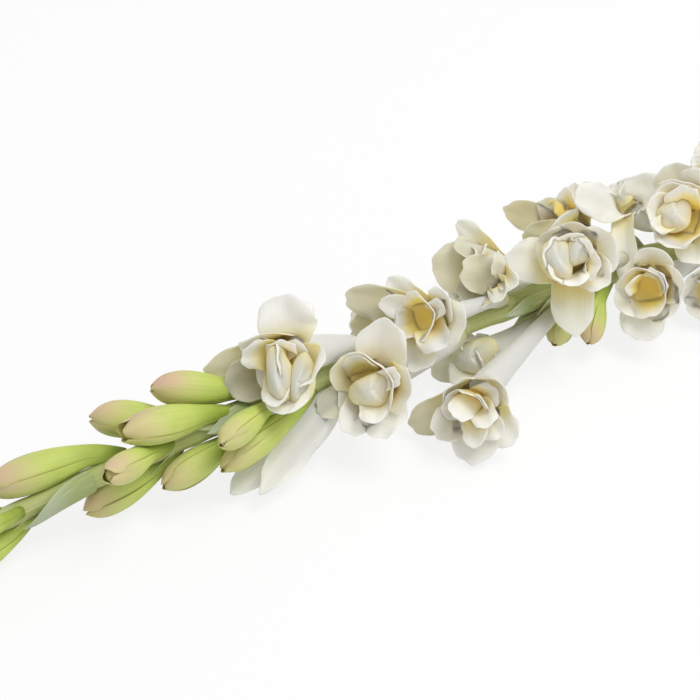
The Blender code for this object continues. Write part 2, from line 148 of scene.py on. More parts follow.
# Petals of a floret that show from the tip's side. Outer petals grow from the tube and crests inside the cup.
# Each has: how far its tip lies from the mouth's centre to the camera's right, up and towards it; half width;
# cupping in degrees; curl (outwards above 0); how far it turns to the camera (its face always shows from
# FULL_FACE up); olive tone, partly a green tint and partly painted shade on the petals turned from the lamp
# (below 0 the share of its yellow root that is left out, below -1 the share of its white tip); how pointed it
# is. Domes are inner petals that arch over the cup: centre to the right, up and near, half width, half
# height, depth, turn in degrees.
PETALS = {
    "floret_1": {
        "outer": (
            (5, 22.5, 2, 10.2, 30, 0.3, 0.85, -0.35, 0.2),
            (-10, 6.5, 4, 6.0, 50, 0.1, 0.3, 0.15, 0.5),
            (-22, -3, -8, 7.5, 35, 0.2, 0.5, 1.1, 0.8),
            (-15, -9, -4, 8.5, 35, 0.2, 0.7, 1.0, 0.2),
            (3, -17, 6, 9.5, 50, -0.1, 0.5, 0.1, 0.2),
            (14.5, -5, 9, 9.5, 45, 0.0, 0.6, 0.05, 0.2),
        ),
        "crests": (
            (-9, 3, 5, 6.5, 50, 0.2, 0.6, -0.1, 0.3),
            (0, -14, 7, 5.8, 50, 0.0, 0.6, -0.45, 0.2),
            (3, 7, 6, 6.0, 50, 0.1, 0.7, -0.5, 0.2),
            (12, 3, 5, 6.0, 45, 0.0, 0.7, -0.3, 0.2),
        ),
        "domes": ((2, -4.5, 7.5, 4.6, 9.0, 4.5, 8), (9, -6, 6.5, 4.6, 8.5, 4.5, -14)),
    },
    "floret_2": {
        "outer": (
            (5, 22.5, 6, 9.8, 50, -0.15, 0.85, -0.5, 0.0),
            (14, -3, 8, 9.5, 50, -0.1, 0.3, 0.2, 0.2),
            (6, -17, 3, 8.5, 35, 0.25, 0.6, -0.45, 0.2),
            (-7, -15, 0, 7.5, 35, 0.2, 0.6, -0.3, 0.2),
            (-16.5, -8, -4, 6.5, 40, 0.1, 0.8, 0.6, 0.5),
            (-12, 5, 0, 8.0, 55, -0.1, 0.2, -1.4, 0.1),
        ),
        "crests": (
            (11, 4, 11, 4.2, 55, 0.0, 0.8, -0.6, 0.3),
            (2, -12, 6, 6.0, 50, 0.1, 0.6, -0.5, 0.2),
        ),
        "domes": ((1.5, -1, 4.0, 7.6, 5.6, 4.0, 15),),
    },
    "floret_3": {
        "outer": (
            (-24.5, 8, -11, 7.0, 40, 0.25, 0.5, 0.75, 0.4),
            (-22, -3, -13, 7.0, 35, 0.25, 0.6, 0.95, 0.3),
            (-10, 13.5, -5, 5.5, 50, 0.1, 0.4, 0.1, 0.5),
            (16, -3, 12, 8.5, 50, 0.0, 0.3, 0.2, 0.2),
            (-1, -18, 0, 8.5, 60, -0.1, 0.3, 0.15, 0.3),
            (10, 7, 10, 7.5, 50, 0.0, 0.2, 0.1, 0.1),
            (-12.5, 5, -3, 5.0, 50, 0.1, 0.6, -0.5, 0.1),
        ),
        "crests": (
            (8, 4.5, 9, 3.8, 60, -0.1, 0.4, -0.6, 0.2),
            (7, -11, 7, 6.5, 40, 0.1, 0.7, -0.4, 0.2),
        ),
    },
    "floret_4": {
        "outer": (
            (-14.5, 0, 2, 10.5, 35, 0.15, 0.8, 0.9, 0.1),
            (-5.5, 15.5, -2, 4.6, 50, 0.1, 0.6, 0.35, 0.2),
            (-7, 7.5, 4, 6.5, 45, 0.1, 0.5, 0.6, 0.1),
            (8.5, -13, 12, 5.0, 50, 0.1, 0.4, 0.15, 0.6),
            (13.5, -8, 13, 4.5, 50, 0.0, 0.4, 0.2, 0.4),
            (-4, -13, 4, 8.0, 40, 0.1, 0.6, 0.75, 0.1),
            (-5, -3, 11, 7.5, 35, -0.1, 0.8, 0.75, 0.1),
            (6, 1, 14, 5.0, 45, 0.0, 0.7, 0.4, 0.2),
        ),
        "crests": (
            (2, 4, 6, 6.0, 50, 0.1, 0.6, 0.45, 0.2),
        ),
    },
    "floret_5": {
        "outer": (
            (-19.5, -6.5, -11, 7.0, 40, 0.25, 0.6, 1.0, 0.1),
            (-11, -10, -2, 7.5, 55, 0.0, 0.2, 0.2, 0.3),
            (15.5, -12, 0, 7.5, 40, 0.35, 0.5, 0.1, 0.3),
            (1, -19.5, -2, 9.0, 45, 0.1, 0.5, -0.3, 0.5),
            (11, 8, 11, 8.0, 60, -0.1, 0.0, 0.4, 0.1),
            (-8, 6, 3, 9.0, 60, -0.1, 0.2, 0.4, 0.1),
        ),
        "crests": (
            (6, -6, 9, 5.2, 55, 0.0, 0.7, -0.6, 0.2),
            (-5, -3, 9, 5.5, 50, 0.1, 0.7, -0.5, 0.1),
            (2, -13, 4, 5.5, 55, 0.1, 0.5, -0.3, 0.3),
            (10, -10, 3, 5.8, 50, 0.1, 0.6, -0.4, 0.2),
            (9, 6, 7, 5.5, 45, 0.0, 0.7, -0.3, 0.2),
        ),
    },
    "floret_6": {
        "outer": (
            (-14.5, -5.5, -4, 7.0, 40, 0.1, 0.5, 0.5, 0.3),
            (-6, 6.5, 4, 7.5, 45, 0.0, 0.6, 0.15, 0.2),
            (-8, -8.5, 4, 7.0, 45, 0.1, 0.6, 0.4, 0.3),
            (5, 8, 0, 6.0, 45, 0.0, 0.0, 0.1, 0.2),
            (9, -4, 3, 5.0, 45, 0.1, 0.0, 0.15, 0.2),
        ),
        "crests": (),
        "domes": ((-1, 0, 5, 9.0, 6.0, 5.0, 20),),
    },
    "floret_7": {
        "outer": (
            (-21.5, 1, -3, 8.5, 35, 0.1, 0.5, 0.1, 1.4),
            (2, 14, 2, 9.0, 50, -0.1, 0.3, 0.3, 0.5),
            (-9, 9.5, 0, 8.5, 50, -0.05, 0.3, 0.45, 0.2),
            (16.5, 6, 4, 9.5, 40, 0.1, 0.5, 0.3, 0.3),
            (3, -25, -4, 8.0, 30, 0.3, 0.5, 0.3, 1.0),
            (14, -7, 4, 7.5, 45, 0.2, 0.3, 0.0, 0.2),
        ),
        "crests": (
            (-8.5, 3.5, 7, 7.0, 50, 0.0, 0.7, -0.35, 0.2),
            (-1, 9.5, 6, 7.0, 50, 0.1, 0.6, 0.25, 0.2),
            (6.5, 6.5, 8, 4.2, 45, 0.1, 0.9, -0.7, 0.2),
            (10, -1, 7, 6.5, 50, 0.0, 0.6, -0.3, 0.2),
            (2, -8, 8, 6.0, 50, 0.1, 0.6, -0.45, 0.2),
            (-6, -5, 8, 5.5, 50, 0.1, 0.6, 0.2, 0.2),
        ),
        "domes": ((-4.2, 1.0, 5.5, 5.6, 7.6, 3.4, 25), (3.0, 4.0, 4.6, 4.8, 5.6, 3.2, -30)),
    },
    "floret_8": {
        "outer": (
            (-19, 4, -5, 7.0, 50, 0.05, 0.5, 0.95, 0.6),
            (-12.5, -5, 5, 7.5, 45, 0.0, 0.6, 0.7, 0.2),
            (6, 12.5, -3, 4.8, 40, 0.1, 0.6, 0.4, 0.1),
            (12, 13, -3, 4.8, 40, 0.1, 0.6, 0.3, 0.1),
            (-6, 6, -5, 6.5, 45, 0.1, 0.5, 0.6, 0.3),
        ),
        "crests": (
            (-3, 6, 2, 4.5, 60, 0.0, 0.5, -1.4, 0.2),
        ),
    },
    "floret_9": {
        "outer": (
            (-17, -1, 8, 7.0, 25, 0.1, 0.9, -0.7, 0.2),
            (7, 6.5, 4, 9.5, 20, 0.0, 0.95, -0.6, 0.0),
            (3, -37, 10, 5.0, 45, 0.2, 0.5, -0.25, 0.4),
            (14, -9, -2, 6.0, 50, 0.1, 0.2, 0.2, 0.2),
            (-3, 2, -8, 6.0, 45, 0.1, 0.4, 0.5, 0.2),
        ),
        "crests": (),
    },
    "floret_10": {
        "outer": (
            (-4, 17.5, -2, 9.5, 45, -0.1, 0.4, 0.5, 0.2),
            (8, 16, 2, 9.0, 45, 0.1, 0.2, 0.05, 0.2),
            (-13, 2, 4, 8.5, 60, -0.1, 0.2, 0.1, 0.2),
            (16.5, -4, 3, 9.5, 40, 0.2, 0.2, 0.1, 0.2),
            (8, -17.5, 0, 9.0, 45, 0.1, 0.3, 0.2, 0.3),
            (-7, -11.5, 4, 7.5, 50, 0.1, 0.2, 0.15, 0.2),
        ),
        "crests": (
            (-2, 9, 7, 7.0, 50, 0.1, 0.4, 0.0, 0.1),
            (-11, -5, 5, 4.5, 70, 0.0, 0.1, 0.0, 0.2),
        ),
        "domes": ((-3, 0, 2.5, 6.8, 6.0, 3.8, 30),),
    },
    "floret_11": {
        "outer": (
            (3, 15, 5, 8.5, 60, -0.1, 0.2, 0.1, 0.2),
            (13, 2, 8, 8.5, 50, 0.0, 0.2, 0.1, 0.2),
            (-2, -17.5, -4, 9.5, 45, 0.1, 0.3, 0.05, 0.2),
            (-9, -7, -2, 7.5, 55, 0.0, 0.3, 0.05, 0.2),
            (10, -9.5, 2, 8.5, 45, 0.1, 0.2, 0.2, 0.2),
            (-8.5, 4, -3, 8.0, 55, 0.0, 0.2, 0.1, 0.2),
        ),
        "crests": (
            (5, 5, 7, 6.0, 60, 0.0, 0.2, 0.0, 0.1),
            (-7, 1, 6, 5.0, 60, 0.0, 0.3, 0.0, 0.1),
        ),
    },
    "floret_12": {
        "outer": (
            (-11, 1, 0, 8.0, 50, 0.0, 0.2, 0.2, 0.3),
            (-5, 9, 4, 8.0, 50, 0.0, 0.2, 0.1, 0.2),
            (-8, -6.5, -2, 8.0, 45, 0.1, 0.2, 0.2, 0.2),
            (1, -11.5, -4, 8.0, 45, 0.1, 0.2, 0.1, 0.2),
            (9.5, -2.5, 4, 8.0, 45, 0.1, 0.2, 0.1, 0.2),
            (6, 9, 6, 7.5, 45, 0.1, 0.2, 0.1, 0.2),
        ),
        "crests": (
            (-3, 3, 5, 5.0, 70, -0.4, 0.4, 0.0, 0.1),
        ),
    },
}

# Florets whose tube is stouter or finer than the common one.
STOUT = {"floret_1": 1.35, "floret_3": 0.8, "floret_5": 1.12}

# Inner cups that differ from the common one: radius at the rim, turn in radians, depth of the notches, how
# pale they are (0 golden, 1 white).
GOBLETS = {
    "floret_1": (6.5, 0.4, 5.0, 0.3),
    "floret_2": (9.6, 1.2, 4.5, 0.0),
    "floret_3": (7.2, 2.0, 3.5, 0.0),
    "floret_4": (4.5, 0.8, 3.0, 0.2),
    "floret_5": (7.0, 0.6, 4.0, 0.15),
    "floret_7": (6.0, 1.5, 3.0, 0.1),
    "floret_9": (2.4, 0.0, 2.0, 0.6),
    "floret_10": (9.6, 0.5, 3.5, 0.0),
}

# Petals of the limp white bud: how far the tip lies to the camera's right, up and near from the bud's tip,
# half width as a share of its radius, cupping in degrees, curl.
SHED_PETALS = (
    (1, 2, 0, 1.7, 40, 0.2),
    (11, 3, 5, 1.5, 40, 0.1),
)

# Bracts: name, station, turn around the stem in degrees (0 is up, 90 is towards -Y), length, half width,
# lean away from the stem in degrees, taper (1.6 pointed, higher blunt).
BRACTS = (
    ("bract_1", -97, 108, 27, 8.5, 4, 3.0),
    ("bract_2", -40, 60, 18, 5.0, 8, 2.2),
    ("bract_3", 73, 65, 15, 3.2, 12, 1.6),
    ("bract_4", 98, 40, 14, 3.6, 12, 1.6),
    ("bract_5", 232, 60, 20, 5.0, 12, 1.6),
    ("bract_6", 268, -70, 24, 5.0, 12, 1.6),
    ("bract_7", 312, 40, 28, 5.0, 12, 1.6),
)


# ---- materials

def colour(code):
    """Linear colour of a six-letter sRGB code."""
    parts = [int(code[i:i + 2], 16) / 255.0 for i in (0, 2, 4)]
    return (*[p / 12.92 if p <= 0.04045 else ((p + 0.055) / 1.055) ** 2.4 for p in parts], 1.0)


class Finish:
    """A material whose colour is worked out from the piece's own map and its tone."""

    def __init__(self, name, roughness, subsurface, reach, sheen=0.0):
        self.material = bpy.data.materials.new(name)
        self.material.use_nodes = True
        self.tree = self.material.node_tree
        self.shader = self.tree.nodes["Principled BSDF"]
        self.shader.inputs["Roughness"].default_value = roughness
        self.shader.inputs["Subsurface Weight"].default_value = subsurface
        self.shader.inputs["Subsurface Radius"].default_value = reach
        self.shader.inputs["Subsurface Scale"].default_value = 2.5 * MM
        self.shader.inputs["Sheen Weight"].default_value = sheen
        self.shader.inputs["Specular IOR Level"].default_value = 0.3
        seat = self.node("ShaderNodeUVMap")
        seat.uv_map = "leaf_map"
        self.map = seat.outputs["UV"]
        parts = self.node("ShaderNodeSeparateXYZ")
        self.link(self.map, parts.inputs[0])
        self.across = parts.outputs["X"]
        self.along = parts.outputs["Y"]
        tone = self.node("ShaderNodeAttribute")
        tone.attribute_type = "GEOMETRY"
        tone.attribute_name = "tone"
        self.tone = tone.outputs["Fac"]
        place = self.node("ShaderNodeTexCoord")
        self.place = place.outputs["Object"]

    def node(self, kind):
        return self.tree.nodes.new(kind)

    def link(self, source, target):
        self.tree.links.new(source, target)

    def maths(self, kind, first, second=None):
        node = self.node("ShaderNodeMath")
        node.operation = kind
        for socket, value in zip(node.inputs, (first, second)):
            if isinstance(value, (int, float)):
                socket.default_value = value
            elif value is not None:
                self.link(value, socket)
        return node.outputs[0]

    def ramp(self, source, stops):
        node = self.node("ShaderNodeValToRGB")
        steps = node.color_ramp.elements
        while len(steps) < len(stops):
            steps.new(1.0)
        for step, (spot, shade) in zip(steps, stops):
            step.position = spot
            step.color = colour(shade) if isinstance(shade, str) else (shade, shade, shade, 1.0)
        self.link(source, node.inputs["Fac"])
        return node.outputs["Color"]

    def mix(self, amount, first, second, kind="MIX"):
        node = self.node("ShaderNodeMix")
        node.data_type = "RGBA"
        node.blend_type = kind
        for name, value in (("Factor", amount), ("A", first), ("B", second)):
            socket = [s for s in node.inputs if s.name == name and s.enabled][0]
            if isinstance(value, str):
                socket.default_value = colour(value)
            elif isinstance(value, (int, float)):
                socket.default_value = value
            else:
                self.link(value, socket)
        return [s for s in node.outputs if s.enabled][0]

    def streaks(self, across, along, seed=0.0):
        """Noise drawn out along the leaf."""
        stretch = self.node("ShaderNodeMapping")
        stretch.inputs["Scale"].default_value = (across, along, 1.0)
        stretch.inputs["Location"].default_value = (seed, seed * 0.7, 0.0)
        self.link(self.map, stretch.inputs["Vector"])
        return self.grain(stretch.outputs[0], 1.0, 4.0)

    def mottle(self, scale):
        """Noise in the piece's own space; scale is in patches per metre."""
        return self.grain(self.place, scale, 3.0)

    def grain(self, source, scale, detail):
        node = self.node("ShaderNodeTexNoise")
        node.inputs["Scale"].default_value = scale
        node.inputs["Detail"].default_value = detail
        self.link(source, node.inputs["Vector"])
        return node.outputs["Fac"]

    def from_middle(self):
        """0 along the middle of a leaf, 0.5 along its two sides."""
        return self.maths("ABSOLUTE", self.maths("SUBTRACT", self.across, 0.5))

    def rimmed(self, shade, start, share, code):
        """Lets a shade pass into another colour along the two sides of a leaf."""
        edge = self.ramp(self.maths("MULTIPLY", self.from_middle(), 2.0), ((start, 0.0), (1.0, 1.0)))
        return self.mix(self.maths("MULTIPLY", edge, share), shade, code)

    def patched(self, shade, scale, code):
        """Lets soft patches of another colour show through a shade."""
        return self.mix(self.ramp(self.mottle(scale), ((0.45, 0.0), (0.75, 0.5))), shade, code)

    def veined(self, shade, veins, share, dark):
        """Darkens the veins of a leaf a little."""
        return self.mix(share, shade, self.ramp(veins, ((0.3, dark), (0.7, 1.0))), "MULTIPLY")

    def bump(self, height, distance, strength):
        node = self.node("ShaderNodeBump")
        node.inputs["Strength"].default_value = strength
        node.inputs["Distance"].default_value = distance * MM
        self.link(height, node.inputs["Height"])
        self.link(node.outputs[0], self.shader.inputs["Normal"])

    def paint(self, shade):
        self.link(shade, self.shader.inputs["Base Color"])

    def roughen(self, source, low, high):
        node = self.node("ShaderNodeMapRange")
        node.inputs["To Min"].default_value = low
        node.inputs["To Max"].default_value = high
        self.link(source, node.inputs["Value"])
        self.link(node.outputs[0], self.shader.inputs["Roughness"])


def petal_relief(finish, veins):
    """The soft gloss and fine veins that all petals share."""
    finish.roughen(finish.mottle(900.0), 0.48, 0.66)
    finish.bump(veins, 0.07, 0.5)


def petal_face():
    """Inside of an outer petal: yellow in the cup, ivory blade, greenish rim."""
    finish = Finish("petal_face", 0.5, 0.75, (1.0, 0.95, 0.82), 0.05)
    shade = finish.ramp(finish.along, ((0.15, "F8DC90"), (0.42, "F8E3A6"), (0.56, "FAEFCA"),
                                       (0.72, "FAF6E4"), (1.0, "F8F7EC")))
    # The tone mixes in olive grey: partly a green tint, partly painted shade on petals turned from the lamp.
    shade = finish.mix(finish.tone, shade, "A8A07C")
    shade = finish.rimmed(shade, 0.88, 0.5, "E4E5BC")
    veins = finish.streaks(24.0, 2.6)
    finish.paint(finish.veined(shade, veins, 0.12, 0.62))
    petal_relief(finish, veins)
    return finish.material


def petal_back():
    """Outside of a floret: ivory petals and tube, olive green where the tone says so: a real green at the
    tube's foot, partly painted shade on petals turned from the lamp.
    """
    finish = Finish("petal_back", 0.5, 0.75, (1.0, 0.95, 0.82), 0.05)
    shade = finish.mix(finish.tone, "F9F6E6", "B6B086")
    rib = finish.ramp(finish.from_middle(), ((0.0, 1.0), (0.16, 0.0)))
    shade = finish.mix(finish.maths("MULTIPLY", rib, 0.25), shade, "D9DDB0")
    veins = finish.streaks(22.0, 2.4, seed=3.0)
    finish.paint(finish.veined(shade, veins, 0.14, 0.62))
    petal_relief(finish, veins)
    return finish.material


def heart_face():
    """Inner petals: deep yellow at the root, cream above."""
    finish = Finish("heart_face", 0.5, 0.75, (1.0, 0.94, 0.78), 0.05)
    shade = finish.ramp(finish.along, ((0.05, "FBD670"), (0.48, "FBDB80"), (0.68, "FAE8AE"),
                                       (0.84, "FAF4DC"), (1.0, "FBF9EF")))
    # The tone mixes in khaki: partly a green tint, partly painted shade on crests turned from the lamp.
    shade = finish.mix(finish.tone, shade, "C9C79A")
    veins = finish.streaks(20.0, 2.6, seed=6.0)
    finish.paint(finish.veined(shade, veins, 0.12, 0.62))
    petal_relief(finish, veins)
    return finish.material


def throat_lining():
    """Deep cream yellow of the cup's floor."""
    finish = Finish("throat_lining", 0.6, 0.5, (1.0, 0.93, 0.75))
    veins = finish.streaks(30.0, 2.0, seed=9.0)
    shade = finish.ramp(finish.along, ((0.0, "FAD568"), (0.5, "FAD974"), (1.0, "FADF88")))
    finish.paint(finish.veined(shade, veins, 0.15, 0.6))
    finish.roughen(veins, 0.5, 0.7)
    finish.bump(veins, 0.07, 0.5)
    return finish.material


def bud_skin():
    """Outside of a bud: lime green body, paler veins, blush towards the tip."""
    finish = Finish("bud_skin", 0.5, 0.2, (0.8, 1.0, 0.3), 0.05)
    # Darker green towards the neck: partly the neck's own colour, partly painted shade between the crowded
    # buds.
    shade = finish.ramp(finish.along, ((0.0, "7E9234"), (0.12, "A4B94A"), (0.35, "C8DA6A"),
                                       (0.7, "D2DE7C"), (1.0, "D6D88A")))
    shade = finish.mix(finish.tone, finish.patched(shade, 160.0, "BAD45C"), "E0BBA0")
    shade = finish.rimmed(shade, 0.92, 0.45, "C4A46C")
    veins = finish.streaks(30.0, 1.6, seed=1.0)
    finish.paint(finish.veined(shade, veins, 0.18, 0.6))
    finish.roughen(finish.mottle(700.0), 0.42, 0.6)
    finish.bump(veins, 0.18, 0.7)
    return finish.material


def bud_inside():
    """Inside of a bud's tepals, seen where the tip gapes."""
    finish = Finish("bud_inside", 0.6, 0.15, (0.8, 1.0, 0.3))
    shade = finish.ramp(finish.along, ((0.5, "A09C48"), (0.85, "BDB662"), (1.0, "D2C98A")))
    veins = finish.streaks(30.0, 1.6, seed=2.0)
    finish.paint(finish.veined(shade, veins, 0.3, 0.5))
    finish.roughen(veins, 0.5, 0.7)
    finish.bump(veins, 0.07, 0.5)
    return finish.material


def stem_skin():
    """Ribbed green stem with paler flecks; the cut end shows wet pith."""
    finish = Finish("stem_skin", 0.5, 0.1, (0.7, 1.0, 0.3), 0.05)
    ribs = finish.streaks(42.0, 9.0, seed=5.0)
    shade = finish.ramp(ribs, ((0.25, "9AA45C"), (0.5, "B2BA74"), (0.75, "C6CC8C")))
    finish.paint(finish.mix(finish.tone, finish.patched(shade, 90.0, "C4CA90"), "D8DFAE"))
    finish.roughen(ribs, 0.42, 0.6)
    finish.bump(ribs, 0.25, 0.7)
    return finish.material


def bract_skin():
    """Thin papery bracts, grey green with fine veins and a dry rim."""
    finish = Finish("bract_skin", 0.65, 0.25, (0.8, 1.0, 0.4), 0.1)
    veins = finish.streaks(46.0, 1.8, seed=8.0)
    shade = finish.ramp(veins, ((0.25, "8E9E5C"), (0.6, "A9B57C"), (0.8, "BFC79A")))
    shade = finish.mix(finish.tone, shade, "B3BDA0")
    finish.paint(finish.rimmed(shade, 0.86, 0.6, "C9C9A2"))
    finish.roughen(veins, 0.55, 0.75)
    finish.bump(veins, 0.15, 0.7)
    return finish.material


# ---- shapes

def smooth(t):
    t = min(max(t, 0.0), 1.0)
    return t * t * (3.0 - 2.0 * t)


def square_to(axis, vector):
    """Unit vector along the part of a vector that is square to a unit axis."""
    return (vector - axis * vector.dot(axis)).normalized()


def turned(first, second, angle):
    """The direction at an angle from a first one towards a second."""
    return first * math.cos(angle) + second * math.sin(angle)


def bezier(points, t):
    a, b, c, d = points
    s = 1.0 - t
    return a * s ** 3 + b * 3 * s * s * t + c * 3 * s * t * t + d * t ** 3


def heading(points, t):
    """Unit vector along a bezier."""
    step = 0.02
    return (bezier(points, min(t + step, 1.0)) - bezier(points, max(t - step, 0.0))).normalized()


def stem_point(x):
    arch = 0.5 * (1.0 + math.cos(math.pi * (x - CREST_X) / ARCH_LENGTH))
    return Vector((x, 0.0, CUT_HEIGHT + (CREST_HEIGHT - CUT_HEIGHT) * arch))


def stem_radius(x):
    along = (x - TIP_X) / (CUT_X - TIP_X)
    return TIP_RADIUS + (CUT_RADIUS - TIP_RADIUS) * max(along, 0.0) ** 0.45


def stem_direction(x):
    return (stem_point(x + 1.0) - stem_point(x - 1.0)).normalized()


def outward_to(x, target):
    """Unit vector square to the stem at a station, on the side where a target lies."""
    return square_to(stem_direction(x), Vector(target) - stem_point(x))


def on_table(spot):
    """Lets a low point lie down on the table instead of passing through it."""
    rest = 0.42
    give = 0.8
    lift = spot.z - rest
    return Vector((spot.x, spot.y, rest + 0.5 * (lift + math.sqrt(lift * lift + give * give))))


class Plant:
    """A mesh in the making, with a map along each leaf and a tone at each point."""

    def __init__(self):
        self.shape = bmesh.new()
        self.map = self.shape.loops.layers.uv.new("leaf_map")
        self.tone = self.shape.verts.layers.float.new("tone")

    def sheet(self, columns, rows, place, tone, material=0, band=(0.0, 1.0)):
        """Bends a grid: place(u, v) for u from -1 to 1 across and v from 0 to 1 along; tone(u, v) its tint.

        band is the stretch of the colour map that the sheet takes from its root to its tip.
        """
        made = bmesh.ops.create_grid(self.shape, x_segments=columns, y_segments=rows, size=0.5)["verts"]
        faces = {face for vert in made for face in vert.link_faces}
        for face in faces:
            face.material_index = material
            for loop in face.loops:
                along = band[0] + (band[1] - band[0]) * (loop.vert.co.y + 0.5)
                loop[self.map].uv = (loop.vert.co.x + 0.5, along)
        for vert in made:
            u, v = round(vert.co.x * 2.0, 5), round(vert.co.y + 0.5, 5)
            vert[self.tone] = tone(u, v)
            vert.co = on_table(place(u, v))
        return made

    def tube(self, around, rows, place, tone, material=0, band=(0.0, 1.0)):
        """A grid rolled into a tube: place(angle, v)."""
        made = self.sheet(around, rows, lambda u, v: place(math.pi * (u + 1.0), v), tone, material, band)
        bmesh.ops.remove_doubles(self.shape, verts=made, dist=0.02)

    def finish(self, name, node, slot, materials, thickness, lined=True):
        """Turns the mesh into a piece with a wall and rounded rims.

        lined gives the last of the materials to its inside and its rim.
        """
        for vert in self.shape.verts:
            vert.co = (vert.co + SHIFT) * MM
        mesh = bpy.data.meshes.new(name)
        self.shape.to_mesh(mesh)
        self.shape.free()
        for face in mesh.polygons:
            face.use_smooth = True
        for material in materials:
            mesh.materials.append(material)
        piece = bpy.data.objects.new(name, mesh)
        bpy.context.scene.collection.objects.link(piece)
        wall = piece.modifiers.new("wall", "SOLIDIFY")
        wall.thickness = thickness * MM
        wall.offset = 0.0
        wall.material_offset = len(materials) - 1 if lined else 0
        wall.material_offset_rim = wall.material_offset
        round_off = piece.modifiers.new("round_off", "SUBSURF")
        round_off.levels = 1
        round_off.render_levels = 1
        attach(piece, "root")
        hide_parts(node)


def flat_tone(value):
    return lambda u, v: value


def add_petal(plant, throat, face, ring, chance, tip, half_width, cup, curl, show, tone, point, lips):
    """One petal, which rises from a ring in the throat and bends to its tip.

    show turns it to the camera, point sharpens its tip and lips turns its rim outwards.
    """
    reach = tip - throat
    side = reach - face * reach.dot(face)
    side = side.normalized() if side.length > 0.5 else VIEW_UP.cross(face).normalized()
    root = throat - face * 1.5 + side * ring
    start = (face + side * 0.32).normalized()
    chord = tip - root
    length = chord.length
    chord.normalize()
    square = face.cross(side).normalized()
    inner = chord.cross(square).normalized()
    end = (chord - inner * curl).normalized()
    handle = 0.36
    spring = handle * min(max(1.0 + start.dot(chord), 0.3), 1.0)      # a petal that hangs back turns early
    path = (root, root + start * length * spring, tip - end * length * handle, tip)
    root_width = 0.8 * ring
    phases = [chance.uniform(0.0, 2.0 * math.pi) for _ in range(6)]
    wave = chance.uniform(0.4, 0.9)
    patch = chance.uniform(0.0, 50.0)
    crease = 0.055 * half_width * chance.uniform(0.6, 1.3)
    crumple = 0.14 * half_width
    lean = chance.uniform(-0.07, 0.07) * half_width
    bow = 0.54                                # where the rounded end of the blade begins
    brow = 0.86                               # how far out its side rows run
    power = 2.2 - 0.35 * min(point, 1.2)      # a rounder end above 2, a more pointed one below
    shoulder = (1.0 - brow ** power) ** (1.0 / power)

    def place(u, v):
        if v < bow:
            t = v
            width = root_width + (half_width - root_width) * math.sin(0.5 * math.pi * min(v / 0.28, 1.0))
            u_side = u
        else:
            s = (v - bow) / (1.0 - bow)
            crown = max(1.0 - abs(brow * u) ** power, 0.0) ** (1.0 / power)
            t = bow + (1.0 - bow) * s * crown
            t += 0.05 * point * math.exp(-(u / 0.22) ** 2) * s ** 3
            t += 0.07 * noise.noise(Vector((2.6 * u, 0.0, patch + 4.0))) * s ** 2
            width = half_width
            u_side = u * (1.0 - (shoulder * s) ** power) ** (1.0 / power)
        centre = bezier(path, min(t, 1.0)) + heading(path, 1.0) * max(t - 1.0, 0.0) * length
        along = heading(path, min(t, 1.0))
        across = square_to(along, square)
        seen = VIEW_BACK.cross(along)
        if seen.length > 0.2:
            seen.normalize()
            if show < FULL_FACE and seen.dot(square) < 0.0:
                seen = -seen                  # a near petal shows its back
            across = square_to(along, across.lerp(seen, show * smooth(v / 0.5)))
        inward = along.cross(across).normalized()
        blend = smooth(v / 0.45)
        bend = (root_width / ring) * (1.0 - blend) + math.radians(cup) * blend
        bend *= 1.0 - 0.3 * smooth((v - 0.6) / 0.4)
        width *= 1.0 + 0.1 * noise.noise(Vector((math.copysign(2.0, u), 3.2 * v, patch))) * smooth(v * 2.0)
        flat = width * math.sin(bend * u_side) / bend + lean * math.sin(3.1 * v) * smooth(v)
        rise = width * (1.0 - math.cos(bend * u_side)) / bend
        flutter = math.sin(7.5 * v + phases[0] + (1.2 if u > 0 else 0.0))
        ruffle = wave * abs(u) ** 2.2 * flutter * smooth(v * 1.6)
        pleat = math.cos(5.5 * u + phases[1] * 0.4 + 1.5 * v) + 0.35 * math.cos(12.0 * u + phases[5])
        fold = crease * pleat * smooth(v * 2.0) * (1.0 - 0.35 * v)
        lip = -(0.5 + lips) * smooth((abs(u) - 0.5) / 0.5) * smooth((v - 0.35) / 0.5)
        lip -= lips * smooth((v - 0.8) / 0.2)
        swell = crumple * noise.noise(Vector((1.7 * u, 2.4 * v, patch + 9.0))) * smooth(v * 1.4)
        return centre + across * flat + inward * (rise + ruffle + fold + lip + swell)

    # Olive tone of the petal: partly a green tint, partly painted shade where a high tone is set on petals
    # turned from the lamp.
    def green(u, v):
        return max(tone, 0.0) * (0.7 + 0.3 * math.sin(3.0 * v + phases[3]) ** 2) * smooth(v * 1.5)

    plant.sheet(10, 14, place, green, 0, (0.0, 2.0 + tone) if tone < -1.0 else (max(-tone, 0.0), 1.0))


def view_tip(mouth, right, up, near):
    return mouth + VIEW_RIGHT * right + VIEW_UP * up + VIEW_BACK * near


